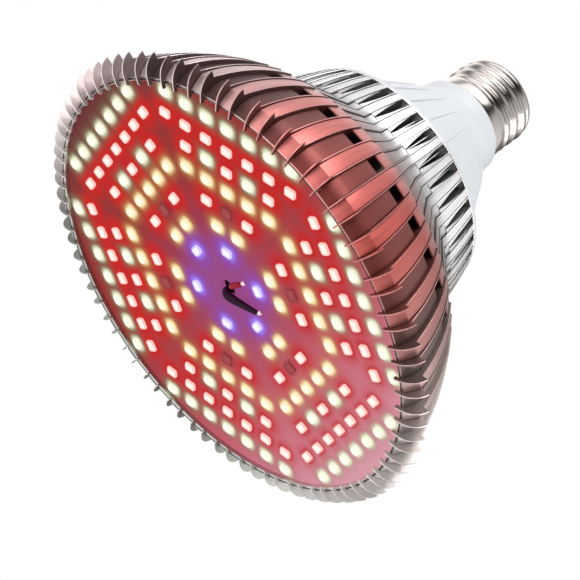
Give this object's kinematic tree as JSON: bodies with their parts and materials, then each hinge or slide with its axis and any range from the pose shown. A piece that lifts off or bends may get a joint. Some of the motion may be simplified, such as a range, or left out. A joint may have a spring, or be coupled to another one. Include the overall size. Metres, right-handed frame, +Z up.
{
  "type": "led grow light",
  "caption": "Round LED plant light: a board of coloured diodes on a folded fin heat sink, with a driver housing and an E27 screw cap.",
  "frame": {"origin": "middle of the plane of the fin tips round the board, which the lamp stands on face down", "axes": "+Z up the lamp's axis from the lit face to the cap's centre contact, +X through the middle of one of the board's six sectors"},
  "size_m": [0.1394, 0.1394, 0.1226],
  "materials": {
    "fin_metal": "polished sheet",
    "tray_metal": "spun sheet",
    "pad": "soft matte",
    "board": "solder mask lit by the diodes",
    "white_light": "lit",
    "red_light": "lit",
    "warm_light": "lit",
    "blue_light": "lit",
    "infrared_light": "dark, unlit to the eye",
    "solder": "bright",
    "red_wire": "smooth",
    "black_wire": "smooth",
    "cup_plastic": "moulded",
    "housing_plastic": "moulded satin",
    "driver_laminate": "solder mask",
    "ferrite": "dull",
    "winding_tape": "taped",
    "capacitor_can": "sleeved",
    "film_case": "moulded",
    "chip_case": "moulded",
    "varistor_coat": "dipped",
    "resistor_coat": "dipped",
    "shell_metal": "nickel plated",
    "insulator": "moulded gloss",
    "contact_metal": "plated"
  },
  "bodies": {
    "root": {"heat_sink": "fin_metal", "led_tray": "tray_metal", "thermal_pad": "pad", "led_board": "board", "white_leds": "white_light", "red_leds": "red_light", "warm_leds": "warm_light", "blue_leds": "blue_light", "infrared_leds": "infrared_light", "solder_joints": "solder", "red_lead": "red_wire", "black_lead": "black_wire", "driver_cup": "cup_plastic", "driver_housing": "housing_plastic", "driver_board": "driver_laminate", "transformer_core": "ferrite", "transformer_winding": "winding_tape", "main_capacitor": "capacitor_can", "output_capacitor": "capacitor_can", "film_capacitor": "film_case", "filter_choke": "ferrite", "bridge_rectifier": "chip_case", "driver_chip": "chip_case", "varistor": "varistor_coat", "fuse_resistor": "resistor_coat", "screw_shell": "shell_metal", "cap_insulator": "insulator", "centre_contact": "contact_metal", "live_lead": "red_wire", "neutral_lead": "black_wire"}
  },
  "joints": []
}
